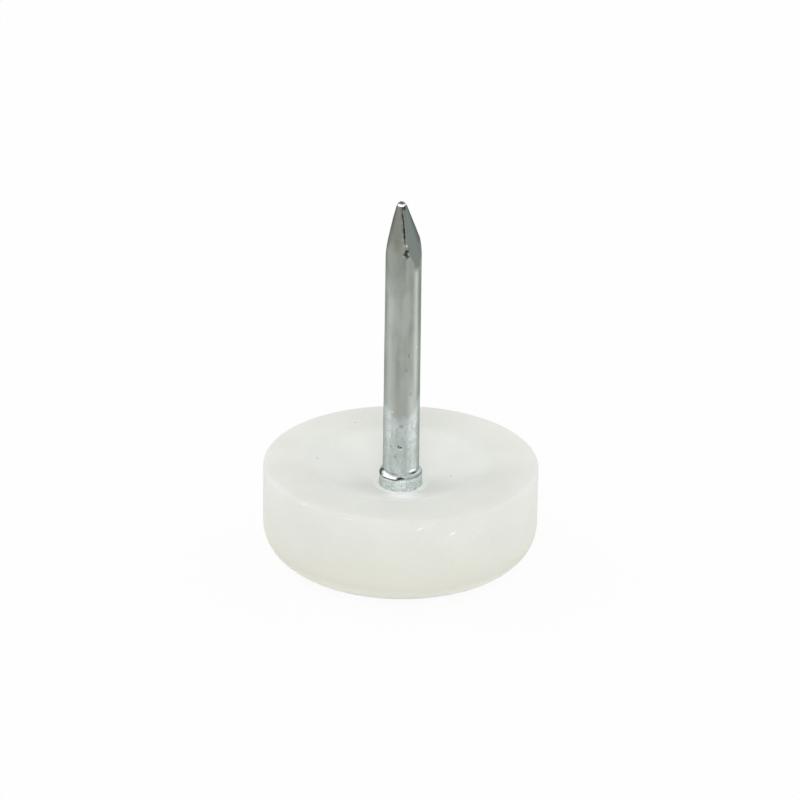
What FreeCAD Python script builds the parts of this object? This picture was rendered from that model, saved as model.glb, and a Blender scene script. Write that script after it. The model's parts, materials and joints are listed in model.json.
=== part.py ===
import FreeCAD, Part
import math
import os
from FreeCAD import Vector

# Nail-on furniture glide: a moulded plastic disc with a plated steel nail set in it.
# Millimetres. +Z runs up the nail, and the origin is the centre of the sole.

# Plastic disc
DISC_DIAMETER = 20.0
DISC_HEIGHT = 7.2
SIDE_DRAFT_DEG = 0.3
SOLE_EDGE_RADIUS = 2.6
RIM_EDGE_RADIUS = 0.3

# Dished top: the flat bearing rim round it, its depth at the nail and the rounding of its lip
RIM_WIDTH = 3.5
DISH_DEPTH = 1.7
DISH_LIP_RADIUS = 0.15

# Nail, measured up and down from the plane of the bearing rim
NAIL_REACH = 20.3
SHANK_DIAMETER = 2.6
COLLAR_DIAMETER = 3.1
COLLAR_RECESS = 0.45
COLLAR_CHAMFER_HEIGHT = 0.3
COLLAR_ROOT = 0.6

# Lip of plastic that laps up the collar where it leaves the disc
FOOT_BEAD = 0.16

# Nail head, buried in the plastic, with this much plastic under it
SOLE_THICKNESS = 2.2
HEAD_DIAMETER = 6.5
HEAD_THICKNESS = 1.0
HEAD_EDGE_RADIUS = 0.3
HEAD_CONE_HEIGHT = 0.5

# Diamond point: four flats that end in a small blunt square, cut a little off centre and turned
POINT_LENGTH = 5.2
POINT_FLAT_WIDTH = 0.42
POINT_OFFSET = -0.2
POINT_TURN_DEG = 12.0

# Levels and radii that follow from those sizes
rim_radius = DISC_DIAMETER / 2
dish_radius = rim_radius - RIM_WIDTH
sole_radius = rim_radius - DISC_HEIGHT * math.tan(math.radians(SIDE_DRAFT_DEG))
shank_radius = SHANK_DIAMETER / 2
collar_radius = COLLAR_DIAMETER / 2
head_radius = HEAD_DIAMETER / 2
tip_level = DISC_HEIGHT + NAIL_REACH
collar_top = DISC_HEIGHT - COLLAR_RECESS
dish_floor = DISC_HEIGHT - DISH_DEPTH
collar_bottom = dish_floor - COLLAR_ROOT
point_base = tip_level - POINT_LENGTH
point_start = point_base - SHANK_DIAMETER
head_bottom = SOLE_THICKNESS
head_top = head_bottom + HEAD_THICKNESS


def at(radius, level):
    """A point of a turned profile, in the XZ half plane."""
    return Vector(radius, 0, level)


def straight_run(points):
    """Line edges through the points in order."""
    return [Part.LineSegment(a, b).toShape() for a, b in zip(points, points[1:])]


def turned(edges):
    """The solid that a closed profile sweeps in one turn about Z."""
    face = Part.Face(Part.Wire(edges))
    return face.revolve(Vector(0, 0, 0), Vector(0, 0, 1), 360)


def round_edge(solid, radius, level, fillet):
    """Rounds the circular edge of that radius at that level."""
    near = 1e-4
    found = [
        edge
        for edge in solid.Edges
        if isinstance(edge.Curve, Part.Circle)
        and abs(edge.Curve.Radius - radius) < near
        and abs(edge.Curve.Center.z - level) < near
    ]
    return solid.makeFillet(fillet, found)


def square_ring(half_width, centre_x, level):
    """Corners of a level square, turned about its own centre as the point's flats are."""
    corners = []
    for quarter in range(4):
        angle = math.radians(POINT_TURN_DEG + 90 * quarter)
        reach = half_width * math.sqrt(2)
        corners.append(Vector(centre_x + reach * math.cos(angle), reach * math.sin(angle), level))
    return corners


def point_envelope():
    """Skewed square frustum that the shank is trimmed to: its sides are the four flats of the point.

    The flats touch the shank at the base of the point. The frustum starts one shank width lower,
    where it is wider than the shank, and narrows to the blunt tip.
    """
    tip_half = POINT_FLAT_WIDTH / 2
    widen = SHANK_DIAMETER / POINT_LENGTH
    low_half = shank_radius + (shank_radius - tip_half) * widen
    low = square_ring(low_half, -POINT_OFFSET * widen, point_start)
    high = square_ring(tip_half, POINT_OFFSET, tip_level)
    loops = [low, high]
    for i in range(4):
        j = (i + 1) % 4
        loops.append([low[i], low[j], high[j], high[i]])
    faces = [Part.Face(Part.makePolygon(loop + loop[:1])) for loop in loops]
    return Part.makeSolid(Part.makeShell(faces))


def make_nail():
    """One forged piece: buried head, neck, collar, plain shank and diamond point."""
    profile = [
        at(0, head_bottom),
        at(head_radius, head_bottom),
        at(head_radius, head_top),
        at(shank_radius, head_top + HEAD_CONE_HEIGHT),
        at(shank_radius, collar_bottom),
        at(collar_radius, collar_bottom),
        at(collar_radius, collar_top - COLLAR_CHAMFER_HEIGHT),
        at(shank_radius, collar_top),
        at(shank_radius, point_start),
        at(0, point_start),
    ]
    body = turned(straight_run(profile + profile[:1]))
    body = round_edge(body, head_radius, head_bottom, HEAD_EDGE_RADIUS)
    blank = Part.makeCylinder(shank_radius, tip_level - point_start, at(0, point_start))
    point = blank.common(point_envelope())
    return body.fuse(point).removeSplitter()


def make_disc(nail):
    """One moulding: rounded sole edge, slightly drafted side, flat bearing rim and a dish round the nail."""
    foot_radius = collar_radius + FOOT_BEAD
    bead_foot = at(foot_radius, dish_floor)
    lip = at(dish_radius, DISC_HEIGHT)
    # The dish is part of a ball whose centre lies on the nail's axis, this far above the rim
    ball_rise = (dish_radius**2 - foot_radius**2 - DISH_DEPTH**2) / (2 * DISH_DEPTH)
    ball_radius = math.hypot(dish_radius, ball_rise)
    middle_radius = (dish_radius + foot_radius) / 2
    middle_drop = math.sqrt(ball_radius**2 - middle_radius**2) - ball_rise
    dish_middle = at(middle_radius, DISC_HEIGHT - middle_drop)
    outer = straight_run([
        at(0, 0),
        at(sole_radius, 0),
        at(rim_radius, DISC_HEIGHT),
        lip,
    ])
    dish_wall = Part.Arc(lip, dish_middle, bead_foot).toShape()
    inner = straight_run([
        bead_foot,
        at(collar_radius, dish_floor + FOOT_BEAD),
        at(0, dish_floor + FOOT_BEAD),
        at(0, 0),
    ])
    blank = turned(outer + [dish_wall] + inner)
    blank = round_edge(blank, sole_radius, 0, SOLE_EDGE_RADIUS)
    blank = round_edge(blank, rim_radius, DISC_HEIGHT, RIM_EDGE_RADIUS)
    blank = round_edge(blank, dish_radius, DISC_HEIGHT, DISH_LIP_RADIUS)
    return blank.cut(nail)


def main():
    os.makedirs("parts", exist_ok=True)
    nail = make_nail()
    pieces = {"nail": nail, "glide_disc": make_disc(nail)}
    for name, shape in pieces.items():
        shape.exportStep(os.path.join("parts", name + ".step"))
        box = shape.optimalBoundingBox()
        print(
            f"{name}: {len(shape.Solids)} solid, valid {shape.isValid()}, {shape.Volume:.3f} mm3, "
            f"{box.XLength:.2f} x {box.YLength:.2f} mm, z {box.ZMin:.2f} to {box.ZMax:.2f} mm"
        )


main()
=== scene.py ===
# %% [markdown]
# # A nail-on furniture glide
# A glide like this is hammered into the end of a chair leg, and its plastic disc slides on the floor.
# It has two pieces: a white moulded disc and the plated steel nail that it is moulded round.
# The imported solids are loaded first, as a fixed frame, and sizes are read from it where they can be,
# so that the detailed pieces keep the size of the solids they stand for.

# %% Load the frame and read its sizes
import json
import math

import bmesh
import bpy
from mathutils import Matrix, Vector, noise


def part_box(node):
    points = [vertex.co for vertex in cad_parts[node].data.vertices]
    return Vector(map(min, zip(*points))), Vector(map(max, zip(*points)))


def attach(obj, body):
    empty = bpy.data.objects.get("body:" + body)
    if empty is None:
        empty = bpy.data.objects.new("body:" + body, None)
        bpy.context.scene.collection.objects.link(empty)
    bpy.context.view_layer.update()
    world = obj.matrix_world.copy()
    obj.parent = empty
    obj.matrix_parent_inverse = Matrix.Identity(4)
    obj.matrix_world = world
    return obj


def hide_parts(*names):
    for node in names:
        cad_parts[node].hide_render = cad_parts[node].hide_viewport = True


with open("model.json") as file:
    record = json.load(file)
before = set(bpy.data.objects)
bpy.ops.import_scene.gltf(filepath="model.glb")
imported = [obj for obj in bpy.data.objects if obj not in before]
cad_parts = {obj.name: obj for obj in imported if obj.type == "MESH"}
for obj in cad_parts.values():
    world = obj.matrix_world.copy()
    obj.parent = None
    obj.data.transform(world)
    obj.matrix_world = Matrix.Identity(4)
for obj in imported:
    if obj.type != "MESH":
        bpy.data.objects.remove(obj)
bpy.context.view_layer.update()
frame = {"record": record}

MM = 0.001
TIP_CLEARANCE = 0.001
rim_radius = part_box("glide_disc")[1].x / MM
disc_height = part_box("glide_disc")[1].z / MM
head_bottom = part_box("nail")[0].z / MM
head_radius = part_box("nail")[1].x / MM
tip_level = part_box("nail")[1].z / MM - TIP_CLEARANCE
mounts = {mount["name"]: mount for mount in frame["record"]["mounts"]}
shank_radius = mounts["nail_shank"]["dims"]["r_mm"]
print(f"disc {2 * rim_radius:.2f} mm across and {disc_height:.2f} mm high, nail tip at {tip_level:.2f} mm")

# %% [markdown]
# ## The camera
# The picture was taken with a long lens from about 25 degrees above the floor, so the sides of the disc
# hardly converge. A long lens far away is used here too. The place of the disc in the picture
# is given as a pixel, and the camera is turned until the middle of the rim falls on it.

# %% Set the camera
IMAGE_SIZE = 800
SENSOR_WIDTH = 36.0
LENS_PIXELS = 6000.0
DISC_WIDTH_PIXELS = 276.0
RIM_CENTRE_PIXEL = (400.9, 461.3)
ELEVATION_DEG = 24.97
ROLL_DEG = 0.78


def add_object(name, data):
    """An object of the scene that shows this data."""
    made = bpy.data.objects.new(name, data)
    bpy.context.scene.collection.objects.link(made)
    return made


def aim_camera():
    """A camera that sees the middle of the rim at its pixel."""
    data = bpy.data.cameras.new("camera")
    data.sensor_width = SENSOR_WIDTH
    data.lens = data.sensor_width * LENS_PIXELS / IMAGE_SIZE
    data.clip_start = 0.01
    data.clip_end = 10.0
    elevation = math.radians(ELEVATION_DEG)
    roll = math.radians(ROLL_DEG)
    to_rim = Vector((0, math.cos(elevation), -math.sin(elevation)))
    level_right = Vector((1, 0, 0))
    level_up = level_right.cross(to_rim)
    right = level_right * math.cos(roll) + level_up * math.sin(roll)
    up = level_up * math.cos(roll) - level_right * math.sin(roll)
    aside = (RIM_CENTRE_PIXEL[0] - IMAGE_SIZE / 2) / LENS_PIXELS
    below = (RIM_CENTRE_PIXEL[1] - IMAGE_SIZE / 2) / LENS_PIXELS
    forward = (to_rim - right * aside + up * below).normalized()
    right = (right - forward * right.dot(forward)).normalized()
    turn = Matrix((right, (-forward).cross(right), -forward)).transposed()
    distance = LENS_PIXELS * 2 * rim_radius * MM / DISC_WIDTH_PIXELS
    place = Vector((0, 0, disc_height * MM)) - to_rim * distance
    camera = add_object("camera", data)
    camera.matrix_world = Matrix.Translation(place) @ turn.to_4x4()
    bpy.context.scene.camera = camera
    return distance


camera_distance = aim_camera()
print(f"camera {camera_distance:.3f} m from the rim")

# %% [markdown]
# ## Helpers for the two meshes
# Both pieces are turned shapes, so both start as a half section: a chain of edges in the XZ plane.
# Corners of the chain are rounded with a vertex bevel and long edges are divided, and then one full spin
# makes the solid. The meshes are modelled in millimetres and scaled to metres at the end, because the
# bevel operator works less well on the very short edges that they would have in metres.

# %% Helpers that make a turned mesh
def half_section(corners):
    """A chain of edges through (radius, level) corners, and its vertices in order."""
    mesh = bmesh.new()
    chain = [mesh.verts.new((radius, 0, level)) for radius, level in corners]
    for first, second in zip(chain, chain[1:]):
        mesh.edges.new((first, second))
    return mesh, chain


def round_corner(mesh, corner, reach, segments):
    """Rounds one corner of a half section, from this far along both edges."""
    bmesh.ops.bevel(
        mesh, geom=[corner], offset=reach, offset_type="OFFSET", affect="VERTICES",
        segments=segments, profile=0.5, material=-1,
    )


def divide_long_edges(mesh, longest):
    """Divides edges longer than what is wanted at their radius and level."""
    for edge in list(mesh.edges):
        middle = (edge.verts[0].co + edge.verts[1].co) / 2
        cuts = int(edge.calc_length() / longest(middle.x, middle.z))
        if cuts > 0:
            bmesh.ops.subdivide_edges(mesh, edges=[edge], cuts=cuts)


def spin_solid(mesh, steps):
    """Spins the half section once round the axis and closes the poles."""
    bmesh.ops.spin(
        mesh, geom=mesh.verts[:] + mesh.edges[:], cent=(0, 0, 0), axis=(0, 0, 1),
        angle=2 * math.pi, steps=steps, use_merge=True,
    )
    bmesh.ops.remove_doubles(mesh, verts=mesh.verts, dist=1e-4)
    bmesh.ops.recalc_face_normals(mesh, faces=mesh.faces)


def tell_mesh(name, mesh, stage):
    """Prints the number of faces of a mesh, and whether it is closed."""
    closed = all(edge.is_manifold for edge in mesh.edges)
    print(f"{name}: {len(mesh.faces)} faces {stage}, closed {closed}")


# %% Helpers that shape and place a mesh
def unevenness(place, size, seed):
    """Smooth noise from about -1 to 1, with bumps about this many millimetres across."""
    return noise.noise(Vector(place) / size + Vector((seed, 2 * seed, 3 * seed)))


def bump_weight(distance, reach):
    """1 at no distance, falling smoothly to 0 at the reach."""
    share = min(1.0, max(0.0, 1.0 - distance / reach))
    return share * share * (3.0 - 2.0 * share)


def near(value, middle, reach):
    """1 at the middle, falling smoothly to 0 at the reach on both sides."""
    return bump_weight(abs(value - middle), reach)


def put_on_frame(mesh, name, node, material):
    """Scales the mesh to metres and shows it on the frame in place of its solid."""
    bmesh.ops.recalc_face_normals(mesh, faces=mesh.faces)
    bmesh.ops.scale(mesh, vec=(MM, MM, MM), verts=mesh.verts)
    data = bpy.data.meshes.new(name)
    mesh.to_mesh(data)
    mesh.free()
    data.shade_smooth()
    data.materials.append(material)
    piece = add_object(name, data)
    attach(piece, "root")
    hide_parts(node)
    print(f"{name}: {len(data.polygons)} faces")


# %% [markdown]
# ## The plastic disc
# The disc is one injection moulding: a flat sole, a large round at the sole's edge, a nearly upright side,
# a flat rim that bears on the leg, and a shallow bowl round the nail whose edge runs softly into the rim.
# The nail's collar and buried head leave a cavity inside, which is kept, because light that enters the
# plastic stops at the steel. A thin lip of plastic lies round the collar where the mould closed on it.

# %% Sizes of the disc
SOLE_EDGE = 2.6
RIM_EDGE = 0.34
SIDE_DRAFT_DEG = 0.3
RIM_WIDTH = 3.5
DISH_DEPTH = 1.7
DISH_LIP_SOFTNESS = 0.5
DISH_LIP_REACH = 0.9
DISH_STEPS = 24
DISH_FOOT_RADIUS = 1.71
COLLAR_RADIUS = 1.55
COLLAR_ROOT = 0.6
BEAD_WIDTH = 0.45
BEAD_TOP_WIDTH = 0.06
BEAD_HEIGHT = 0.03
HEAD_THICKNESS = 1.0
HEAD_CONE_HEIGHT = 0.5
CAVITY_GAP = 0.01

dish_radius = rim_radius - RIM_WIDTH
dish_floor = disc_height - DISH_DEPTH
bead_radius = COLLAR_RADIUS + BEAD_WIDTH
collar_bottom = dish_floor - COLLAR_ROOT
head_top = head_bottom + HEAD_THICKNESS


def top_level(radius):
    """Level of the disc's top: a flat rim that runs softly into a bowl, which is part of a ball."""
    rise = (dish_radius**2 - DISH_FOOT_RADIUS**2 - DISH_DEPTH**2) / (2 * DISH_DEPTH)
    ball = rise - math.sqrt(dish_radius**2 + rise**2 - radius**2)
    near_lip = max(0.0, 1.0 - abs(ball) / DISH_LIP_SOFTNESS)
    return disc_height + min(0.0, ball) - DISH_LIP_SOFTNESS * near_lip**2 / 4


print(f"bowl {2 * dish_radius:.2f} mm across and {DISH_DEPTH} mm deep")

# %% Half section of the disc
DISC_STEPS = 300
FLASH_RADIUS = 3.2
FLASH_EDGE_LENGTH = 0.05
PLAIN_EDGE_LENGTH = 0.3


def disc_edge_length(radius, level):
    """Longest edge of the disc's section: short round the collar, longer elsewhere."""
    if radius < FLASH_RADIUS and level > dish_floor - 0.1:
        return FLASH_EDGE_LENGTH
    return PLAIN_EDGE_LENGTH


def disc_section():
    """Half section of the disc, from the middle of the sole to the bottom of the cavity."""
    gap = CAVITY_GAP
    sole_radius = rim_radius - disc_height * math.tan(math.radians(SIDE_DRAFT_DEG))
    outside = [(0, 0), (sole_radius, 0), (rim_radius, disc_height)]
    lip_radius = dish_radius + DISH_LIP_REACH
    step = (lip_radius - bead_radius) / DISH_STEPS
    bowl = [(lip_radius - step * i, top_level(lip_radius - step * i)) for i in range(DISH_STEPS + 1)]
    bead = [
        (DISH_FOOT_RADIUS, dish_floor + BEAD_HEIGHT),
        (COLLAR_RADIUS + BEAD_TOP_WIDTH, dish_floor + BEAD_HEIGHT),
    ]
    cavity = [
        (COLLAR_RADIUS + gap, dish_floor + BEAD_HEIGHT),
        (COLLAR_RADIUS + gap, collar_bottom - gap),
        (shank_radius + gap, collar_bottom - gap),
        (shank_radius + gap, head_top + HEAD_CONE_HEIGHT),
        (head_radius + gap, head_top + gap),
        (head_radius + gap, head_bottom - gap),
        (0, head_bottom - gap),
    ]
    mesh, chain = half_section(outside + bowl + bead + cavity)
    sole_corner, rim_corner = chain[1:3]
    round_corner(mesh, sole_corner, SOLE_EDGE, segments=14)
    round_corner(mesh, rim_corner, RIM_EDGE, segments=6)
    divide_long_edges(mesh, disc_edge_length)
    return mesh


disc_mesh = disc_section()
spin_solid(disc_mesh, DISC_STEPS)
tell_mesh("disc", disc_mesh, "after the spin")

# %% [markdown]
# ## Wear and moulding marks on the disc
# A moulded disc is never quite true: its faces sink a little as they cool. This one has also been handled,
# so its rim is more rounded at the front right, and it has a few nicks along the front. The faces under
# each nick are divided again, so that the nick is a real dent. Round the collar the plastic is ragged.
# An attribute marks where the plastic is whitened, at the nicks and in the flash round the collar; in front
# of the collar it also carries painted light, thrown there by the shiny collar.

# %% Divide the faces under the nicks
FRONT_DEG = -90.0
UPPER_SIDE_DROP = 2.2
NICKS = [
    # degrees to the right of the front, millimetres below the rim,
    # half length, half height, depth, slope in degrees
    (8.3, 0.64, 0.4, 0.11, 0.09, 22.0),
    (22.3, 1.31, 0.36, 0.12, 0.09, 24.0),
    (3.6, 0.86, 0.42, 0.05, 0.03, 0.0),
    (13.0, 0.3, 0.48, 0.07, 0.04, 25.0),
    (-22.0, 0.26, 1.0, 0.07, 0.03, 0.0),
    (-44.7, 0.16, 0.5, 0.07, 0.03, 3.0),
]


def turn_from_front(place):
    """Degrees to the right of the front, from -180 to 180."""
    bearing = math.degrees(math.atan2(place.y, place.x)) - FRONT_DEG
    return (bearing + 180.0) % 360.0 - 180.0


def nick_share(place, nick):
    """Distance of a place from a nick's middle, as a share of the nick's size."""
    turn, drop, length, height, _, slope = nick
    along = math.radians(turn_from_front(place) - turn) * rim_radius
    across = place.z - (disc_height - drop)
    lean = math.radians(slope)
    run = along * math.cos(lean) + across * math.sin(lean)
    rise = across * math.cos(lean) - along * math.sin(lean)
    return math.hypot(run / length, rise / height)


def is_upper_side(place):
    """Whether a place is on the upper side, where the nicks are."""
    return place.z > disc_height - UPPER_SIDE_DROP and math.hypot(place.x, place.y) > rim_radius - 1.0


def refine_under_nicks(mesh):
    """Divides the faces under the nicks."""
    edges = {}
    for face in mesh.faces:
        middle = face.calc_center_median()
        if is_upper_side(middle) and any(nick_share(middle, nick) < 2.2 for nick in NICKS):
            edges.update(dict.fromkeys(face.edges))
    bmesh.ops.subdivide_edges(mesh, edges=list(edges), cuts=4, use_grid_fill=True)


refine_under_nicks(disc_mesh)
tell_mesh("disc", disc_mesh, f"with {len(NICKS)} nicks to press")

# %% Nicks, sinks and the worn rim
WAVE_DEPTH = 0.02
WORN_TURN_DEG = 28.0
WORN_SPREAD_DEG = 55.0
WORN_DROP = 0.16
NICK_INWARD = 0.8
NICK_DOWN = 0.5
WHITENED_PER_DEPTH = 18.0
RIM_SINK = 0.03
RIM_MIDDLE_RADIUS = 8.3
RIM_SINK_REACH = 1.9


def wear_side(vert, scuff_and_painted_light, radius, outward, turn):
    """Waviness, the worn rim and the nicks."""
    wave = 0.5 + 0.5 * unevenness(vert.co, 4.0, 3.1)
    worn = near(turn, WORN_TURN_DEG, WORN_SPREAD_DEG)
    corner = math.hypot(radius - rim_radius, vert.co.z - disc_height)
    dent = 0.0
    if is_upper_side(vert.co):
        for nick in NICKS:
            weight = bump_weight(nick_share(vert.co, nick), 1.0)
            dent += nick[4] * weight
            vert[scuff_and_painted_light] = max(vert[scuff_and_painted_light], min(1.0, WHITENED_PER_DEPTH * nick[4] * weight))
    vert.co -= outward * (WAVE_DEPTH * wave + NICK_INWARD * dent)
    vert.co.z -= WORN_DROP * worn * bump_weight(corner, 1.0) + NICK_DOWN * dent
    if radius < rim_radius - 0.2 and vert.co.z > disc_height / 2:
        vert.co.z -= RIM_SINK * wave * near(radius, RIM_MIDDLE_RADIUS, RIM_SINK_REACH)


# %% The flash round the collar
RAGGED_HEIGHT = 0.10
RAGGED_WIDTH = 0.06
RING_INSIDE = 0.14
RING_OUTSIDE = 0.42
RING_SPREAD_DEG = 95.0
PATCH_TURN_DEG = 5.0
PATCH_SPREAD_DEG = 40.0
PATCH_RADIUS = 2.4
PATCH_FADE = 1.6


def raise_bead(vert, scuff_and_painted_light, radius, outward, turn):
    """The ragged lip of plastic round the collar, and a patch in front of it that is partly whitened flash
    and partly painted light from the shiny collar.
    """
    bead = bump_weight(radius - COLLAR_RADIUS, BEAD_WIDTH)
    ragged = unevenness(outward * 1.6, 0.34, 7.7) + 0.6 * unevenness(outward * 1.6, 0.13, 2.3)
    vert.co.z += RAGGED_HEIGHT * bead * ragged
    if radius > COLLAR_RADIUS + 0.03:
        vert.co += outward * RAGGED_WIDTH * bead * ragged
    inside = bump_weight(COLLAR_RADIUS + RING_INSIDE + 0.05 * ragged - radius, 0.06)
    outside = bump_weight(radius - COLLAR_RADIUS - RING_OUTSIDE - 0.16 * ragged, 0.08)
    ring = inside * outside * (0.2 + 0.8 * near(turn, 0.0, RING_SPREAD_DEG))
    # Painted light: the patch in front of the collar stands for light thrown by the shiny collar, and is
    # partly whitened flash.
    patch = near(turn, PATCH_TURN_DEG, PATCH_SPREAD_DEG) * bump_weight(radius - PATCH_RADIUS, PATCH_FADE)
    streaks = unevenness((outward.x * 2.2, outward.y * 2.2, radius * 4.0), 0.7, 9.4)
    flecks = unevenness(vert.co, 0.16, 5.2)
    vert[scuff_and_painted_light] = max(ring, min(1.0, max(0.0, patch * (1.4 + 2.2 * streaks + 0.8 * flecks))))


def wear_disc(mesh):
    """Moves the disc's skin a little, and marks where the plastic is whitened and where light is painted in
    front of the collar.
    """
    scuff_and_painted_light = mesh.verts.layers.float.new("scuff_and_painted_light")
    for vert in mesh.verts:
        radius = math.hypot(vert.co.x, vert.co.y)
        on_side = radius > dish_radius and vert.co.z > 0.05
        if on_side or (COLLAR_RADIUS < radius and vert.co.z > dish_floor - 0.02):
            outward = Vector((vert.co.x, vert.co.y, 0)) / radius
            wear = wear_side if on_side else raise_bead
            wear(vert, scuff_and_painted_light, radius, outward, turn_from_front(vert.co))


wear_disc(disc_mesh)
tell_mesh("disc", disc_mesh, "with its marks")

# %% [markdown]
# ## The white plastic
# The disc is natural polyethylene or nylon: milky, a little translucent, satin and faintly greenish grey.
# Light goes some way into it, so part of its shading is scattering a few millimetres deep.
# Slow clouds vary its colour. The floor of the dish is paler, which is painted light, the front and back of
# the top are greyer, which is painted shade, the side is warmer towards the sole, and its rounded foot is
# pale, which is painted light. Fine grain comes from the mould, and the few dark specks are burnt resin.

# %% Helpers for node trees
def new_material(name):
    """A material with nodes, its node tree and its shader."""
    material = bpy.data.materials.new(name)
    material.use_nodes = True
    return material, material.node_tree, material.node_tree.nodes["Principled BSDF"]


def feed(socket, value):
    """Gives an input socket a value, or links an output socket to it."""
    if isinstance(value, bpy.types.NodeSocket):
        value.id_data.links.new(value, socket)
    else:
        socket.default_value = value


def feed_inputs(node, **values):
    """Feeds the inputs of a node by name, with underscores for spaces."""
    for name, value in values.items():
        feed(node.inputs[name.replace("_", " ")], value)


def add_node(tree, kind, **values):
    """Adds a node and feeds its inputs."""
    made = tree.nodes.new(kind)
    feed_inputs(made, **values)
    return made


def add_math(operation, first, second):
    """The result of a math node on a socket and a second socket or a number."""
    made = first.id_data.nodes.new("ShaderNodeMath")
    made.operation = operation
    feed(made.inputs[0], first)
    feed(made.inputs[1], second)
    return made.outputs[0]


def times(first, second):
    """The product of a socket and a second socket or a number."""
    return add_math("MULTIPLY", first, second)


def add_range(value, low, high, to_low=0.0, to_high=1.0):
    """A socket remapped smoothly from one range to another."""
    made = add_node(value.id_data, "ShaderNodeMapRange", Value=value, From_Min=low, From_Max=high)
    feed_inputs(made, To_Min=to_low, To_Max=to_high)
    made.interpolation_type = "SMOOTHSTEP"
    return made.outputs["Result"]


def add_zone(length, span, weak=0.0, strong=1.0):
    """A weight from weak to strong, while a length goes through a span of millimetres."""
    return add_range(length, span[0] * MM, span[1] * MM, weak, strong)


def add_mix(share, first, second):
    """A colour mix of two colours or sockets, by a socket."""
    made = share.id_data.nodes.new("ShaderNodeMix")
    made.data_type = "RGBA"
    feed(made.inputs["Factor"], share)
    for name, value in (("A", first), ("B", second)):
        socket = [s for s in made.inputs if s.name == name and s.type == "RGBA"][0]
        feed(socket, (*value, 1.0) if isinstance(value, tuple) else value)
    return [s for s in made.outputs if s.type == "RGBA"][0]


# %% Helpers that read places, patterns and attributes
def add_noise(place, per_metre, detail, stretch=(1.0, 1.0, 1.0)):
    """A noise value on Object coordinates, with its scale in bumps per metre."""
    mapping = add_node(place.id_data, "ShaderNodeMapping", Vector=place, Scale=stretch)
    made = add_node(place.id_data, "ShaderNodeTexNoise", Scale=per_metre, Detail=detail)
    feed_inputs(made, Vector=mapping.outputs["Vector"])
    return made.outputs[0]


def add_place(tree):
    """Object coordinates, and their X, Y and Z."""
    place = tree.nodes.new("ShaderNodeTexCoord").outputs["Object"]
    return place, add_node(tree, "ShaderNodeSeparateXYZ", Vector=place).outputs


def add_vector_math(operation, first, second=None):
    """A vector math node on a socket and, where it needs one, a fixed vector."""
    made = first.id_data.nodes.new("ShaderNodeVectorMath")
    made.operation = operation
    feed(made.inputs[0], first)
    if second is not None:
        feed(made.inputs[1], second)
    return made.outputs


def add_attribute(tree, name):
    """The value of a vertex attribute."""
    made = tree.nodes.new("ShaderNodeAttribute")
    made.attribute_name = name
    return made.outputs["Fac"]


def add_relief(shader, height, strength, depth):
    """Fine relief on a shader, from a height socket."""
    bump = add_node(shader.id_data, "ShaderNodeBump", Strength=strength, Distance=depth * MM, Height=height)
    feed_inputs(shader, Normal=bump.outputs["Normal"])


# %% The plastic's colours
PLASTIC_PALE = (0.8, 0.81, 0.765)
PLASTIC_CLOUD = (0.775, 0.785, 0.735)
PLASTIC_WARM = (0.77, 0.77, 0.685)
# The next four colours: painted light in the bowl, painted shade on the front and back of the top, painted
# light on the foot, and whitened plastic that also paints light in front of the collar.
PLASTIC_BOWL_PAINTED_LIGHT = (0.85, 0.86, 0.82)
PLASTIC_PAINTED_SHADE = (0.74, 0.75, 0.705)
PLASTIC_FOOT_PAINTED_LIGHT = (0.96, 0.96, 0.875)
PLASTIC_WHITENED_AND_LIT = (0.97, 0.98, 0.965)
TOP_REACH = (9.95, 9.5)
WARM_LEVELS = (8.4, 3.6)
WARM_WANDER = 4.0
FOOT_LEVELS = (1.7, 0.5)
DISH_REACH = (7.0, 5.7)
COLLAR_REACH = (2.2, 4.8)
SPECK_COLOUR = (0.3, 0.31, 0.28)
SPECK_REACH = (0.1, 0.04)
SPECKS = [(-6.05, 0.96), (3.65, 0.31), (-3.41, 6.67)]


def tint_zones(colour, place, split, reach):
    """Painted shade on the front and back of the top, the warm side, and painted light on the foot and in
    the dish.
    """
    # Painted shade: the front and back of the top are greyer than its sides.
    forward = add_math("DIVIDE", split["Y"], reach)
    sector = add_range(add_math("POWER", forward, 4.0), 0.0, 1.0, 0.0, 0.9)
    on_top = add_zone(reach, TOP_REACH)
    colour = add_mix(times(sector, on_top), colour, PLASTIC_PAINTED_SHADE)
    wander = times(add_noise(place, 170.0, 2.0), WARM_WANDER * MM)
    low = add_zone(add_math("ADD", split["Z"], wander), WARM_LEVELS, 0.0, 0.95)
    colour = add_mix(low, colour, PLASTIC_WARM)
    # Painted light: the rounded foot is paler, as if lit from the floor through the plastic.
    colour = add_mix(add_zone(split["Z"], FOOT_LEVELS), colour, PLASTIC_FOOT_PAINTED_LIGHT)
    # Painted light: the bowl is paler, away from the collar.
    in_dish = add_zone(reach, DISH_REACH, 0.0, 0.8)
    past_collar = add_zone(reach, COLLAR_REACH, 0.4, 1.0)
    return add_mix(times(in_dish, past_collar), colour, PLASTIC_BOWL_PAINTED_LIGHT)


def tint_specks(colour, place):
    """A few dark specks in the top of the disc."""
    for x, y in SPECKS:
        middle = Vector((x, y, top_level(math.hypot(x, y)))) * MM
        distance = add_vector_math("DISTANCE", place, middle)["Value"]
        colour = add_mix(add_zone(distance, SPECK_REACH, 0.0, 0.6), colour, SPECK_COLOUR)
    return colour


# %% The plastic's shader
MILKY_REACH = (2.0, 6.0)
MILKY_SHARE = 0.22
MILKY_DEPTH = 3.5


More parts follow.
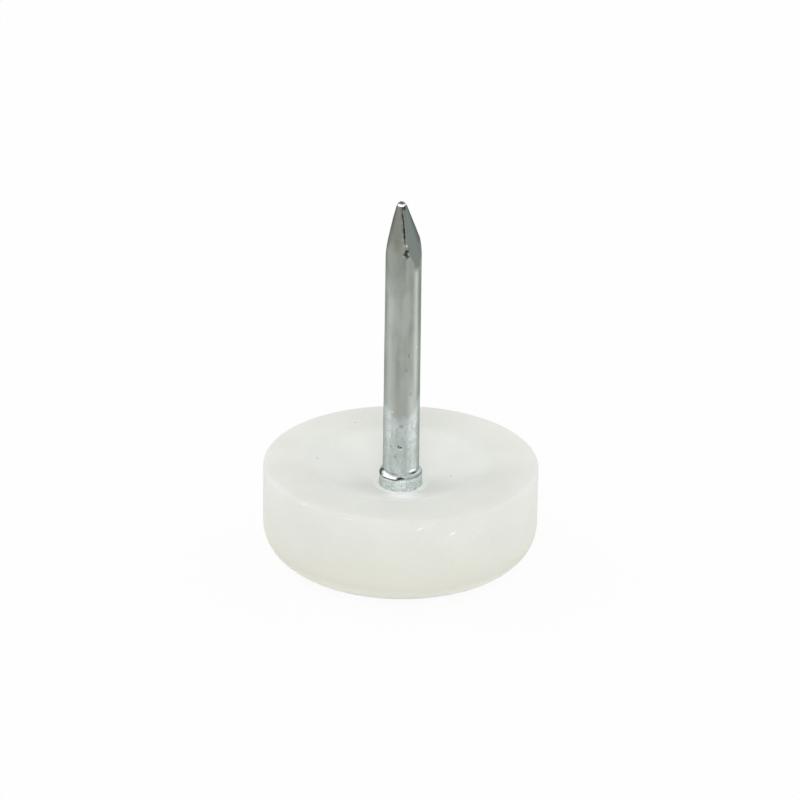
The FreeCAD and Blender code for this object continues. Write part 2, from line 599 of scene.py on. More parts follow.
def make_plastic():
    """Milky plastic with clouds, tinted zones of painted light and shade, fine grain, scuffs, a patch of
    painted light and specks.
    """
    material, tree, shader = new_material("white_plastic")
    place, split = add_place(tree)
    flat = add_vector_math("MULTIPLY", place, (1.0, 1.0, 0.0))["Vector"]
    reach = add_vector_math("LENGTH", flat)["Value"]
    clouds = add_range(add_noise(place, 260.0, 4.0), 0.35, 0.68)
    colour = add_mix(clouds, PLASTIC_PALE, PLASTIC_CLOUD)
    colour = tint_zones(colour, place, split, reach)
    grain = add_noise(place, 4200.0, 3.0)
    colour = add_mix(add_range(grain, 0.5, 0.72, 0.0, 0.1), colour, PLASTIC_WHITENED_AND_LIT)
    # Whitened plastic at the nicks and flash, and painted light in front of the collar.
    colour = add_mix(add_attribute(tree, "scuff_and_painted_light"), colour, PLASTIC_WHITENED_AND_LIT)
    colour = tint_specks(colour, place)
    rough = add_range(add_noise(place, 900.0, 3.0), 0.3, 0.7, 0.38, 0.54)
    feed_inputs(shader, Base_Color=colour, Roughness=rough, IOR=1.5, Specular_IOR_Level=0.1)
    milky = add_zone(reach, MILKY_REACH, 0.0, MILKY_SHARE)
    feed_inputs(shader, Subsurface_Weight=milky, Subsurface_Scale=MILKY_DEPTH * MM)
    feed_inputs(shader, Subsurface_Radius=(1.0, 1.0, 0.9))
    drag = add_noise(place, 2600.0, 2.0, (1.0, 1.0, 0.12))
    height = add_math("ADD", times(grain, 0.6), drag)
    add_relief(shader, height, strength=0.25, depth=0.02)
    return material


white_plastic = make_plastic()
put_on_frame(disc_mesh, "moulded_disc", "glide_disc", white_plastic)

# %% [markdown]
# ## The nail
# The nail is drawn wire: a head is forged at one end, which the plastic hides, a collar is upset where
# it leaves the disc, and the other end is pinched to a blunt four-sided point. The collar's upper edge is
# rolled over unevenly; the bright crescent on it is a painted highlight and the dark line under it is
# painted shade.

# %% Half section of the nail
COLLAR_RECESS = 0.45
COLLAR_CHAMFER_HEIGHT = 0.30
HEAD_EDGE = 0.3
SHANK_FOOT_RADIUS = shank_radius + 0.02
SHANK_TOP_RADIUS = shank_radius - 0.01
NAIL_STEPS = 180
COLLAR_EDGE_LENGTH = 0.045
SHANK_EDGE_LENGTH = 0.12
BURIED_EDGE_LENGTH = 0.4
# Millimetres out from the collar's wall, and up from its lip
LIP_PROFILE = [(0.0, -0.2), (-0.06, -0.1), (-0.05, -0.06), (0.06, -0.03), (0.06, 0.03)]
# Millimetres out from the foot of the shank, and up from the top of the collar
FOOT_PROFILE = [(0.07, -0.05), (-0.01, -0.03), (0.0, 0.08), (0.0, 0.45)]
collar_top = disc_height - COLLAR_RECESS
lip_level = collar_top - COLLAR_CHAMFER_HEIGHT


def nail_edge_length(radius, level):
    """Longest edge of the nail's section: short on the collar, longer elsewhere."""
    if dish_floor < level < collar_top + 0.4:
        return COLLAR_EDGE_LENGTH
    return SHANK_EDGE_LENGTH if level > collar_top else BURIED_EDGE_LENGTH


def nail_section():
    """Half section of the nail, from under its head to a flat end at the tip."""
    buried = [
        (0, head_bottom),
        (head_radius, head_bottom),
        (head_radius, head_top),
        (shank_radius, head_top + HEAD_CONE_HEIGHT),
        (shank_radius, collar_bottom),
        (COLLAR_RADIUS, collar_bottom),
    ]
    lip = [(COLLAR_RADIUS + out, lip_level + up) for out, up in LIP_PROFILE]
    foot = [(SHANK_FOOT_RADIUS + out, collar_top + up) for out, up in FOOT_PROFILE]
    mesh, chain = half_section(buried + lip + foot + [(SHANK_TOP_RADIUS, tip_level), (0, tip_level)])
    round_corner(mesh, chain[1], HEAD_EDGE, segments=4)
    divide_long_edges(mesh, nail_edge_length)
    return mesh


nail_mesh = nail_section()
spin_solid(nail_mesh, NAIL_STEPS)
tell_mesh("nail", nail_mesh, "after the spin")

# %% [markdown]
# ## The diamond point
# The wire is pinched between dies that leave four flats. Each flat is cut with two planes, of which the
# upper one leans in more, so the point swells slightly. Each cut is closed with a face, and the flats are
# then sliced into small faces, so that creases and pits can be pressed into them.

# %% Cut the four flats
POINT_LENGTH = 5.2
POINT_HALF_WIDTH = 0.21
POINT_OFFSET = -0.2
POINT_TURN_DEG = 12.0
POINT_SWELL_LEFT = 0.17
POINT_SWELL_RIGHT = 0.36
RIGHT_FLAT_LENGTH = 0.9


def flat_half_width(share, swell):
    """Distance of a flat from the point's centre, at this share of the way down."""
    swollen = share * (1 + swell) - swell * share**2
    return POINT_HALF_WIDTH + (shank_radius - POINT_HALF_WIDTH) * swollen


def flat_place(share, direction, half_width):
    """A place in the middle of a flat, at this share of the way down."""
    centre = Vector((POINT_OFFSET * (1 - share), 0, tip_level - POINT_LENGTH * share))
    return centre + direction * half_width


def with_corners(faces):
    """Faces with their edges and vertices, in the order of the faces."""
    edges = dict.fromkeys(e for f in faces for e in f.edges)
    verts = dict.fromkeys(v for f in faces for v in f.verts)
    return [*verts, *edges, *faces]


def cut_flat(mesh, upper, lower, sideways):
    """Cuts along the plane through two places of a flat and closes the cut."""
    outward = sideways.cross(upper - lower).normalized()
    if outward.z < 0:
        outward.negate()
    near_point = [f for f in mesh.faces if max(v.co.z for v in f.verts) > tip_level - 2 * POINT_LENGTH]
    geometry = with_corners(near_point)
    cut = bmesh.ops.bisect_plane(
        mesh, geom=geometry, dist=1e-5, plane_co=upper, plane_no=outward, clear_outer=True
    )
    rim = [e for e in cut["geom_cut"] if isinstance(e, bmesh.types.BMEdge) and e.is_boundary]
    bmesh.ops.edgeloop_fill(mesh, edges=rim)


def level_directions(degrees):
    """The level direction at this angle from +X, and the one square to it."""
    angle = math.radians(degrees)
    return Vector((math.cos(angle), math.sin(angle), 0)), Vector((-math.sin(angle), math.cos(angle), 0))


def cut_point(mesh):
    """The four flats, each of two planes. The two flats on the right bulge more."""
    for quarter in range(4):
        direction, sideways = level_directions(POINT_TURN_DEG + 45 + 90 * quarter)
        on_right = direction.x > 0
        swell = POINT_SWELL_RIGHT if on_right else POINT_SWELL_LEFT
        foot = RIGHT_FLAT_LENGTH if on_right else 1.0
        top = flat_place(0.0, direction, POINT_HALF_WIDTH)
        middle = flat_place(0.5, direction, flat_half_width(0.5, swell))
        cut_flat(mesh, middle, flat_place(foot, direction, shank_radius), sideways)
        cut_flat(mesh, top, middle, sideways)


cut_point(nail_mesh)
tell_mesh("nail", nail_mesh, "with four flats")

# %% Cut the shoulders of the point
SHOULDER_LENGTH = 4.3
SHOULDER_DEPTH = 0.96
SHOULDER_CURVE = 1.7
SHOULDER_CLEARANCE = 0.005
SHOULDER_DROPS = (2.4, 3.0, 3.6, 4.1)


def shoulder_place(drop):
    """Half width and level of the outline of the shoulders, this far below the tip."""
    left_over = max(0.0, 1 - drop / SHOULDER_LENGTH)
    half_width = shank_radius + SHOULDER_CLEARANCE - SHOULDER_DEPTH * left_over**SHOULDER_CURVE
    return half_width, tip_level - drop


def cut_shoulders(mesh):
    """Blunts the two side ridges, where the dies sheared the flash off."""
    for side in (-1, 1):
        for drop in SHOULDER_DROPS:
            upper_width, upper_level = shoulder_place(drop - 0.05)
            lower_width, lower_level = shoulder_place(drop + 0.05)
            upper = Vector((side * upper_width, 0, upper_level))
            lower = Vector((side * lower_width, 0, lower_level))
            cut_flat(mesh, upper, lower, Vector((0, 1, 0)))


cut_shoulders(nail_mesh)
tell_mesh("nail", nail_mesh, "with blunt shoulders")

# %% Bevel the blunt tip
TIP_HALF_WIDTH = 0.165
TIP_RIDGE_FACTOR = 1.25
TIP_BEVEL = 0.25


def bevel_tip(mesh):
    """Bevels the edge of the blunt end, over each flat and each ridge."""
    share = TIP_BEVEL / POINT_LENGTH
    for eighth in range(8):
        direction, sideways = level_directions(POINT_TURN_DEG + 45 * eighth)
        over_ridge = eighth % 2 == 0
        foot = flat_half_width(share, POINT_SWELL_LEFT) * (math.sqrt(2) if over_ridge else 1.0)
        top = TIP_HALF_WIDTH * (TIP_RIDGE_FACTOR if over_ridge else 1.0)
        cut_flat(mesh, flat_place(0.0, direction, top), flat_place(share, direction, foot), sideways)


bevel_tip(nail_mesh)
tell_mesh("nail", nail_mesh, "with its tip bevelled")

# %% Slice the flats into small faces
SLICE_LEVELS = 70
SLICE_TURNS = 90
SLICE_LARGE = 0.01
TIP_SLICES = (0.03, 0.08, 0.11, 0.18, 0.24, 0.27)


def slice_planes():
    """Upright planes through the nail's axis, and level planes down the point."""
    planes = []
    for turn in range(SLICE_TURNS):
        angle = math.pi * turn / SLICE_TURNS
        planes.append((Vector((0, 0, tip_level)), Vector((-math.sin(angle), math.cos(angle), 0))))
    drops = [1.3 * POINT_LENGTH * row / SLICE_LEVELS for row in range(2, SLICE_LEVELS)]
    for drop in [*TIP_SLICES, *drops]:
        planes.append((Vector((0, 0, tip_level - drop)), Vector((0, 0, 1))))
    return planes


def slice_flats(mesh):
    """Cuts rows and columns across the large faces of the flats."""
    upper = [f for f in mesh.faces if f.calc_center_median().z > tip_level - 2 * POINT_LENGTH]
    faces = [f for f in upper if f.calc_area() > SLICE_LARGE]
    for place, direction in slice_planes():
        made = bmesh.ops.bisect_plane(
            mesh, geom=with_corners(faces), dist=1e-4, plane_co=place, plane_no=direction
        )
        faces = [f for f in made["geom"] if isinstance(f, bmesh.types.BMFace) and f.is_valid]
    bmesh.ops.remove_doubles(mesh, verts=mesh.verts, dist=1e-3)


slice_flats(nail_mesh)
tell_mesh("nail", nail_mesh, "sliced")

# %% Soften the ridges of the point
SHARP_TIP = 0.3
LEFT_OF = -0.2
LEFT_BELOW = 2.4


def soften_ridges(mesh, passes, sharpest, left_only=False):
    """Smooths the point's ridges and the edges of its flats."""
    for _ in range(passes):
        verts = {}
        for edge in mesh.edges:
            place = edge.verts[0].co
            if not tip_level - 2 * POINT_LENGTH < place.z < tip_level - SHARP_TIP:
                continue
            if left_only and (place.x > LEFT_OF or place.z > tip_level - LEFT_BELOW):
                continue
            if edge.is_manifold and edge.calc_face_angle() > sharpest:
                verts.update(dict.fromkeys(edge.verts))
        bmesh.ops.smooth_vert(
            mesh, verts=list(verts), factor=0.5, use_axis_x=True, use_axis_y=True, use_axis_z=True
        )


soften_ridges(nail_mesh, 3, math.radians(10))
soften_ridges(nail_mesh, 14, math.radians(1.5), left_only=True)
tell_mesh("nail", nail_mesh, "softened")

# %% [markdown]
# ## Marks on the nail
# The dies leave a folded crease down the front ridge, with a burr and a pit where it runs out on the wire.
# The plating has small pits and drips, most of them near the disc, and the wire has lines from its drawing.
# Marks move the vertices or set attributes that the plating reads: painted shade in pits, crease, lip and
# edges, painted highlights on drips, tip and crescent, painted dark reflection on the die-dulled flats, and
# painted reflection bands.

# %% Tables of the marks
PITS = [
    # degrees to the right of the front, level, half width, half height, depth, darkness of the painted
    # shade
    (4.0, 27.14, 1.15, 0.18, 0.0, 1.5),
    (11.0, 24.16, 0.25, 0.2, 0.08, 1.8),
    (8.0, 23.97, 0.24, 0.24, 0.08, 1.8),
    (12.0, 23.8, 0.18, 0.18, 0.05, 1.2),
    (-1.0, 8.83, 0.19, 0.08, 0.05, 1.2),
    (-5.5, 8.89, 0.1, 0.09, 0.04, 1.0),
    (-9.0, 8.98, 0.09, 0.17, 0.04, 1.0),
    (0.0, 10.55, 0.22, 0.09, 0.03, 0.5),
    (-17.0, 8.15, 0.07, 0.18, 0.03, 0.6),
    (-36.0, 8.9, 0.1, 0.08, 0.03, 0.4),
    (6.0, 7.75, 0.1, 0.1, 0.03, 0.4),
    (22.4, 16.08, 0.1, 0.14, 0.03, 0.55),
    (13.1, 14.95, 0.14, 0.14, 0.02, 0.35),
    (-45.5, 18.24, 0.14, 0.1, 0.02, 0.35),
    (30.0, 13.05, 0.09, 0.16, 0.03, 0.5),
]
DRIPS = [
    # degrees to the right of the front, level, half width, half height, height, brightness of the painted
    # highlight
    (10.5, 24.6, 0.24, 0.22, 0.02, 0.4),
    (-4.0, 24.95, 0.12, 0.14, 0.02, 0.35),
    (39.0, 6.92, 0.36, 0.13, 0.07, 2.0),
    (45.0, 11.2, 0.1, 0.18, 0.02, 0.9),
    (-31.0, 11.62, 0.2, 0.08, 0.02, 0.6),
    (-25.0, 11.45, 0.14, 0.07, 0.02, 0.5),
    (-5.6, 8.58, 0.13, 0.07, 0.03, 0.9),
    (-0.7, 7.88, 0.09, 0.08, 0.04, 1.0),
    (-42.5, 8.78, 0.08, 0.07, 0.03, 0.9),
    (43.7, 9.6, 0.13, 0.32, 0.02, 1.0),
    (43.4, 10.45, 0.12, 0.22, 0.02, 1.0),
    (-38.9, 9.76, 0.14, 0.4, 0.02, 0.9),
    (27.5, 16.02, 0.08, 0.11, 0.02, 0.6),
    (51.2, 16.63, 0.12, 0.13, 0.02, 0.7),
    (23.0, 12.75, 0.1, 0.12, 0.02, 0.6),
]
# Bands of painted reflection of the lights along the wire.
BANDS = [
    # degrees to the right of the front, half width in degrees, strength,
    # level where it fades, length of the fade
    (-46.0, 30.0, 0.47, 20.0, 2.5),
    (-76.0, 20.0, 0.3, 20.0, 2.5),
    (-42.0, 30.0, 0.7, 11.8, 1.8),
    (-25.0, 50.0, 0.6, 7.4, 0.9),
    (47.5, 16.0, 1.0, 22.3, 0.6),
    (37.0, 28.0, 0.95, 12.0, 3.0),
    (130.0, 20.0, 0.5, 20.0, 2.5),
    (-139.0, 14.0, 0.9, 22.3, 0.6),
]


def spot_weight(vert, spot):
    """How much of a pit or drip, ragged at its edge, reaches a vertex."""
    turn, level, wide, high = spot[:4]
    along = math.radians(turn_from_front(vert.co) - turn) * shank_radius
    share = math.hypot(along / wide, (vert.co.z - level) / high)
    return bump_weight(share * (1.0 + 0.8 * unevenness(vert.co, 0.13, 6.1)), 1.0)


def band_strength(turn, level):
    """How much a band of painted reflection along the wire shows at this turn and level."""
    return max(
        strength * near(turn, middle, width) * bump_weight(level - top, fade)
        for middle, width, strength, top, fade in BANDS
    )


# The draw lines counted here are the bands of painted reflection.
print(f"{len(PITS)} pits, {len(DRIPS)} drips and {len(BANDS)} draw lines")

# %% Crease and flats of the point
CREASE_TURN_DEG = 9.5
CREASE_WIDTH = 0.17
CREASE_RIGHT_WIDTH = 0.08
CREASE_DEPTH = 0.09
CREASE_LENGTH = 2.95
PRESSED_LEAST = 0.012
RIGHT_FOOT_DROP = 4.6
RIDGE_REACH_DEG = 28.0


def point_polar(vert):
    """Degrees to the right of the front and distance, from the point's own leaning axis."""
    centre = POINT_OFFSET * max(0.0, 1 - (tip_level - vert.co.z) / POINT_LENGTH)
    from_axis = Vector((vert.co.x - centre, vert.co.y, 0))
    return turn_from_front(from_axis), from_axis.length


def crease_weight(vert):
    """How much of the crease down the front ridge reaches a vertex."""
    drop = tip_level - vert.co.z
    bearing, reach = point_polar(vert)
    wander = 0.05 * unevenness((0, 0, vert.co.z), 0.3, 1.7) + 0.03 * unevenness(vert.co, 0.14, 4.8)
    aside = math.radians(bearing - CREASE_TURN_DEG) * reach + wander
    width = CREASE_WIDTH if aside < 0 else CREASE_RIGHT_WIDTH
    patchy = max(0.25, 0.7 + 0.2 * drop + 0.8 * unevenness((0, 0, vert.co.z), 0.24, 8.8))
    return bump_weight(abs(aside), width) * patchy * min(1.0, 8 * (1 - drop / CREASE_LENGTH))


def dulled_and_shaded_share(vert):
    """How dull and dark the flats are, dulled by the dies and darkened by painted reflection: 0 on round
    wire, 1 on the flats.
    """
    pressed = SHANK_TOP_RADIUS - math.hypot(vert.co.x, vert.co.y)
    bearing, _ = point_polar(vert)
    past_ridge = bearing - CREASE_TURN_DEG
    if 0.0 < past_ridge < 170.0:
        ragged = 0.02 * unevenness(vert.co, 0.3, 3.3)
        on_flat = min(1.0, max(0.0, pressed + ragged - PRESSED_LEAST) / 0.04)
        beside_crease = bump_weight(past_ridge - 12.0, 6.0) * bump_weight(tip_level - 3.1 - vert.co.z, 0.3)
        blunt_foot = min(1.0, 2.0 * near(past_ridge, 45.0, 25.0))
        blunt_foot *= bump_weight(tip_level - RIGHT_FOOT_DROP - vert.co.z, 0.1)
        return max(0.9 * beside_crease, blunt_foot, on_flat)
    fading = 0.5 * bump_weight(tip_level - 4.0 - vert.co.z, 2.4)
    return max(fading, min(1.0, (pressed - PRESSED_LEAST) / 0.4))


def ridge_shade(vert):
    """Painted shade along the two outer ridges of the point, from 0 to 1."""
    bearing, _ = point_polar(vert)
    right = near(bearing - POINT_TURN_DEG, 90.0, RIDGE_REACH_DEG)
    left = near(bearing - POINT_TURN_DEG, -90.0, RIDGE_REACH_DEG)
    return max(left, right) * bump_weight(tip_level - 2.8 - vert.co.z, 0.8)


def tip_shine(vert):
    """How strong the painted highlight on the bevel of the tip is: less at its left and right corners."""
    bearing, _ = point_polar(vert)
    on_left = near(bearing - POINT_TURN_DEG, -90.0, 30.0)
    on_right = near(bearing - POINT_TURN_DEG, 80.0, 55.0)
    return 1.0 - max(on_left, 0.6 * on_right)


# %% Marks on the shank
DRAW_LINE_DEPTH = 0.006
MOST_BRIGHT = 0.8
TIP_SHINE_DROPS = (0.1, TIP_BEVEL - 0.02)


def edge_shade(turn, level):
    """Painted shade on the left and right edges of the wire."""
    left = 0.2 * near(turn, -85.0, 14.0) * bump_weight(level - 11.5, 2.0)
    right = 0.08 * near(turn, 84.0, 18.0)
    return max(left, right)


def mark_shank(vert, layers, outward, turn):
    """Draw lines, pits, drips and the crease, with painted shade, highlights and reflection bands: how far
    a vertex moves outwards.
    """
    grime, bright = layers["grime"], layers["bright"]
    drawn = unevenness((outward.x * 1.3, outward.y * 1.3, vert.co.z * 0.12), 0.35, 5.3)
    push = DRAW_LINE_DEPTH * drawn
    vert[layers["band"]] = band_strength(turn, vert.co.z)
    vert[grime] = edge_shade(turn, vert.co.z)
    # Pits get painted shade and drips painted highlights.
    for spots, way, layer, most in ((PITS, -1, grime, 1.0), (DRIPS, 1, bright, MOST_BRIGHT)):
        for spot in spots:
            weight = spot_weight(vert, spot)
            push += way * spot[4] * weight
            vert[layer] = max(vert[layer], min(most, spot[5] * weight))
    if vert.co.z > tip_level - CREASE_LENGTH:
        fold = crease_weight(vert)
        push -= CREASE_DEPTH * fold
        # Painted shade in the crease.
        vert[grime] = max(vert[grime], min(1.0, fold))
    if vert.co.z > tip_level - 1.3 * POINT_LENGTH:
        vert[layers["pinch"]] = dulled_and_shaded_share(vert)
        vert[grime] = max(vert[grime], 0.5 * ridge_shade(vert))
    # Painted highlight on the bevel of the tip.
    if TIP_SHINE_DROPS[0] < tip_level - vert.co.z < TIP_SHINE_DROPS[1]:
        vert[bright] = tip_shine(vert)
        vert[grime] = 0.0
    return push


# %% Marks on the collar
LIP_DROP = 0.09
GROOVE_FILL = 0.075
SEAM_TURN_DEG = 16.4
SEAM_HALF_WIDTH = 0.07
SEAM_DEPTH = 0.015


def lip_strength(turn):
    """How far the collar's edge is rolled over, from 0 to 1."""
    left = min(1.0, 2.5 * near(turn, -32.0, 31.0))
    back = min(1.0, 2.5 * bump_weight(180.0 - abs(turn), 95.0)) * 0.6
    return max(left, back)


def collar_shade(turn, above_lip, above_top, strength, ragged, torn):
    """Painted shade under and over the rolled lip, at its ends and in the fold, and darker metal where it
    isn't rolled.
    """
    thick = 0.10 + 0.04 * near(turn, -55.0, 25.0)
    under = bump_weight(abs(above_lip + 0.08 + 0.02 * ragged), thick)
    over = near(above_top, -0.03, 0.06)
    left_end = near(turn, -78.0, 20.0) * bump_weight(-0.1 - above_lip, 0.05)
    right_line = near(turn, 45.0, 30.0) * near(above_top, -0.02, 0.055)
    dull = (1 - strength) * near(turn, 42.0, 60.0) * near(above_lip, 0.12, 0.3)
    fold = near(turn, -1.0, 16.0) * bump_weight(abs(above_lip - 0.07 + 0.07 * torn), 0.14)
    at_lip = max(1.8 * under * strength, 0.5 * over * strength)
    return min(1.0, max(at_lip, 2.0 * fold, left_end, 1.3 * right_line, 0.38 * dull))


def mark_collar(vert, layers, outward, turn):
    """The rolled lip, the seam and the rough skin: how far a vertex moves outwards."""
    strength = lip_strength(turn)
    ragged = unevenness(outward * 1.5, 0.5, 4.4)
    torn = unevenness(vert.co, 0.12, 3.6)
    above_lip = vert.co.z - lip_level
    lip = near(above_lip, 0.0, 0.16)
    groove = near(above_lip, -0.085, 0.09)
    push = lip * (0.02 * ragged - LIP_DROP * (1 - strength)) + GROOVE_FILL * groove * (1 - strength)
    shade = collar_shade(turn, above_lip, vert.co.z - collar_top, strength, ragged, torn)
    edge = bump_weight(abs(above_lip - 0.08 - 0.05 * ragged - 0.03 * torn), 0.04 + 0.06 * strength)
    # Painted highlight: the bright crescent on the rolled lip.
    vert[layers["bright"]] = min(1.0, 2.0 * edge * strength)
    if vert.co.z < lip_level - 0.1:
        push += 0.014 * unevenness(vert.co, 0.16, 2.9) + 0.008 * unevenness(vert.co, 0.07, 5.9)
        seam = bump_weight(abs(math.radians(turn - SEAM_TURN_DEG) * COLLAR_RADIUS), SEAM_HALF_WIDTH)
        push -= SEAM_DEPTH * seam
        # Painted shade in the seam's groove.
        shade = max(shade, 0.3 * seam)
    vert[layers["grime"]] = shade
    return push


def mark_nail(mesh):
    """Presses all marks into the part of the nail that shows."""
    layers = {name: mesh.verts.layers.float.new(name) for name in ("grime", "bright", "pinch", "band")}
    for vert in mesh.verts:
        if vert.co.z < dish_floor or math.hypot(vert.co.x, vert.co.y) < 1e-3:
            continue
        mark = mark_collar if vert.co.z < collar_top + 0.05 else mark_shank
        outward = Vector((vert.co.x, vert.co.y, 0)).normalized()
        vert.co += outward * mark(vert, layers, outward, turn_from_front(vert.co))


mark_nail(nail_mesh)
tell_mesh("nail", nail_mesh, "with its marks")

# %% [markdown]
# ## The zinc plating
# Bright zinc on drawn wire is a dull metal: grey with a trace of green, streaked along the wire by the die
# and cloudy where the bath dried. Near the disc it is paler, cooler and mottled, up to a ragged edge.
# The shader is fully metallic, its roughness changes with the clouds, and stretched noise makes the draw
# lines. The attributes then add painted dark reflection to the die-dulled flats, painted reflection bands,
# painted highlights and painted shade.

# %% The plating's colours
ZINC_GREY = (0.28, 0.307, 0.27)
ZINC_LIGHT = (0.38, 0.41, 0.372)
# The three flat colours are painted dark reflection on the die-dulled flats.
ZINC_DULL_FLAT_SHADE_WARM = (0.175, 0.184, 0.154)
ZINC_DULL_FLAT_SHADE_COOL = (0.203, 0.232, 0.219)
ZINC_DULL_FLAT_SHADE_LIGHT = (0.215, 0.235, 0.21)
# Painted reflection of the lights, in bands along the wire.
ZINC_PAINTED_REFLECTION = (0.58, 0.62, 0.58)
ZINC_COOL = (0.46, 0.51, 0.505)
ZINC_PALE = (0.62, 0.68, 0.67)
# Frosted zinc on the collar, and also the paler colour of the painted reflection bands near the disc.
ZINC_FROSTED_AND_REFLECTION = (0.84, 0.905, 0.895)
# Painted highlight.
ZINC_PAINTED_HIGHLIGHT = (0.93, 0.95, 0.94)
# Painted shade.
PAINTED_SHADE_COLOUR = (0.03, 0.035, 0.03)
LIGHTER_LEVELS = (15.5, 11.5)
COLLAR_LEVELS = (lip_level - 0.05, lip_level - 0.12)
PALE_LEVELS = (13.85, 13.15)
PALE_ARCH = 1.2
FLAT_SIDES = (-0.3, 0.4)


def add_weighted(first, first_share, second, second_share):
    """The sum of two sockets, each times its own share."""
    first = times(first, first_share)
    return add_math("ADD", first, times(second, second_share))


def upper_colour(streaks, clouds, split, band):
    """Streaked grey wire, a little lighter towards the disc, with bands of painted reflection."""
    share = add_weighted(streaks, 0.35, clouds, 0.65)
    colour = add_mix(add_range(share, 0.38, 0.62), ZINC_GREY, ZINC_LIGHT)
    colour = add_mix(add_zone(split["Z"], LIGHTER_LEVELS, 0.0, 0.8), colour, ZINC_LIGHT)
    cloudy_band = times(band, add_range(clouds, 0.25, 0.55, 0.6, 1.0))
    return add_mix(cloudy_band, colour, ZINC_PAINTED_REFLECTION)


def lower_colour(mottle, speckle, split, band):
    """Cool mottled plating near the disc, frosted on the collar, with bands of painted reflection."""
    pale = add_mix(add_range(mottle, 0.36, 0.66, 0.0, 0.8), ZINC_COOL, ZINC_PALE)
    mottled_band = times(band, add_range(mottle, 0.38, 0.64, 0.45, 0.95))
    pale = add_mix(mottled_band, pale, ZINC_FROSTED_AND_REFLECTION)
    on_collar = add_zone(split["Z"], COLLAR_LEVELS)
    frosted = times(on_collar, add_range(speckle, 0.36, 0.66, 0.3, 1.0))
    return add_mix(frosted, pale, ZINC_FROSTED_AND_REFLECTION)


def lower_share(clouds, mottle, split):
    """1 on the pale lower end of the wire, whose ragged edge is higher at the sides."""
    aside = add_math("POWER", add_math("DIVIDE", split["X"], shank_radius * MM), 2.0)
    level = add_math("SUBTRACT", split["Z"], times(aside, PALE_ARCH * MM))
    ragged = add_weighted(clouds, 3.2, mottle, 1.8)
    level = add_math("ADD", level, times(ragged, MM))
    return add_zone(level, PALE_LEVELS)


def dulled_and_shaded_colour(mottle, split):
    """The flats of the point, dulled by the dies and darkened by painted reflection, warmer on the left and
    cooler on the right.
    """
    colour = add_mix(add_zone(split["X"], FLAT_SIDES), ZINC_DULL_FLAT_SHADE_WARM, ZINC_DULL_FLAT_SHADE_COOL)
    return add_mix(add_range(mottle, 0.4, 0.7, 0.0, 0.6), colour, ZINC_DULL_FLAT_SHADE_LIGHT)


# %% The plating's shader
def make_zinc():
    """Dull zinc: streaked grey above, paler and patchy near the disc."""
    material, tree, shader = new_material("zinc_plated_steel")
    place, split = add_place(tree)
    streaks = add_noise(place, 2600.0, 4.0, (1.0, 1.0, 0.06))
    clouds = add_noise(place, 700.0, 4.0, (1.0, 1.0, 0.5))
    speckle = add_noise(place, 7600.0, 3.0)
    streaky = add_noise(place, 3400.0, 5.0, (1.0, 1.0, 0.5))
    mottle = add_weighted(streaky, 0.6, speckle, 0.4)
    band = add_attribute(tree, "band")
    upper = upper_colour(streaks, clouds, split, band)
    lower = lower_colour(mottle, speckle, split, band)
    colour = add_mix(lower_share(clouds, mottle, split), upper, lower)
    # The flats get painted dark reflection, the drips, tip and crescent painted highlights, and the pits,
    # crease, lip and edges painted shade.
    colour = add_mix(add_attribute(tree, "pinch"), colour, dulled_and_shaded_colour(mottle, split))
    bright = add_range(add_attribute(tree, "bright"), 0.1, 0.8)
    colour = add_mix(bright, colour, ZINC_PAINTED_HIGHLIGHT)
    colour = add_mix(add_attribute(tree, "grime"), colour, PAINTED_SHADE_COLOUR)
    rough = add_range(clouds, 0.3, 0.7, 0.3, 0.44)
    feed_inputs(shader, Base_Color=colour, Roughness=rough, Metallic=1.0)
    feed_inputs(shader, Specular_Tint=(0.58, 0.59, 0.58, 1.0))
    pitting = add_noise(place, 5200.0, 3.0)
    height = add_math("ADD", streaks, times(pitting, 0.6))
    add_relief(shader, height, strength=0.4, depth=0.02)
    return material


zinc_plating = make_zinc()
put_on_frame(nail_mesh, "plated_nail", "nail", zinc_plating)

# %% [markdown]
# ## Floor and light
# The glide stands on a plain white sheet. Two large soft lights stand left and right, slightly behind it,
# two weak ones are low at its sides, and a broad one is in front. The sheet and the room are shown nearly
# white to the camera and to reflections, and the sheet still takes the disc's shadow.

# %% The floor
FLOOR_SIZE = 3.0
FLOOR_WHITE = 0.92
FLOOR_GAP = 0.02


def seen_directly(tree):
    """1 for rays from the camera, a reflection or glass, and 0 for others."""
    path = tree.nodes.new("ShaderNodeLightPath")
    seen = add_math("MAXIMUM", path.outputs["Is Camera Ray"], path.outputs["Is Glossy Ray"])
    return add_math("MAXIMUM", seen, path.outputs["Is Transmission Ray"])


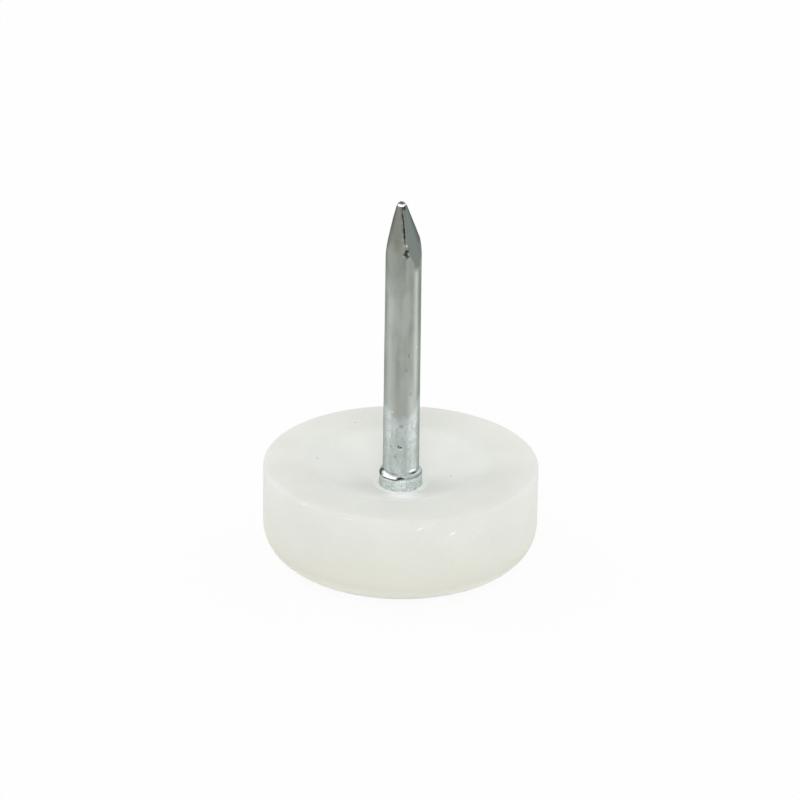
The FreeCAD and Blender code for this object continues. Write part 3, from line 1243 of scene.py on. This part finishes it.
def make_white_sheet():
    """A pale matt sheet, shown nearly white where it is seen directly."""
    material, tree, shader = new_material("white_sheet")
    feed_inputs(shader, Base_Color=(0.9, 0.9, 0.9, 1.0), Roughness=0.7)
    white = add_node(tree, "ShaderNodeEmission", Strength=1.0)
    shown = times(seen_directly(tree), FLOOR_WHITE)
    blend = add_node(tree, "ShaderNodeMixShader", Fac=shown)
    feed(blend.inputs[1], shader.outputs["BSDF"])
    feed(blend.inputs[2], white.outputs["Emission"])
    feed_inputs(tree.nodes["Material Output"], Surface=blend.outputs["Shader"])
    return material


def make_floor():
    """A large flat sheet, a hair below the sole."""
    mesh = bmesh.new()
    bmesh.ops.create_grid(mesh, x_segments=1, y_segments=1, size=FLOOR_SIZE / 2)
    bmesh.ops.translate(mesh, vec=(0, 0, -FLOOR_GAP * MM), verts=mesh.verts)
    data = bpy.data.meshes.new("floor")
    mesh.to_mesh(data)
    mesh.free()
    data.materials.append(make_white_sheet())
    floor = add_object("floor", data)


make_floor()
print(f"floor {FLOOR_SIZE} m square")

# %% The lights
WORLD_GREY = 0.59
SOFT_LIGHTS = {
    # place in metres, width, height, watts
    "soft_light_left": ((-0.39, 0.22, 0.42), 0.4, 0.4, 0.9),
    "soft_light_right": ((0.39, 0.22, 0.42), 0.4, 0.4, 0.72),
    "soft_light_low_left": ((-0.45, -0.22, 0.12), 0.3, 0.16, 0.2),
    "soft_light_low_right": ((0.45, -0.22, 0.12), 0.3, 0.16, 0.28),
    "soft_light_front": ((0.0, -0.6, 0.32), 0.5, 0.5, 0.96),
}


def add_soft_light(name, place, width, height, watts):
    """A soft light that faces the disc."""
    data = bpy.data.lights.new(name, "AREA")
    data.shape = "RECTANGLE"
    data.size = width
    data.size_y = height
    data.energy = watts
    lamp = add_object(name, data)
    toward = Vector((0, 0, disc_height * MM)) - Vector(place)
    lamp.matrix_world = Matrix.Translation(place) @ toward.to_track_quat("-Z", "Y").to_matrix().to_4x4()


def make_world():
    """A white room in reflections, which lights the pieces with a plain grey."""
    world = bpy.data.worlds.new("studio")
    world.use_nodes = True
    tree = world.node_tree
    strength = add_range(seen_directly(tree), 0.0, 1.0, WORLD_GREY, 1.0)
    feed_inputs(tree.nodes["Background"], Color=(1.0, 1.0, 1.0, 1.0), Strength=strength)
    bpy.context.scene.world = world


make_world()
for name, values in SOFT_LIGHTS.items():
    add_soft_light(name, *values)
bpy.context.scene.view_settings.view_transform = "Standard"
print(f"{len(SOFT_LIGHTS)} soft lights")
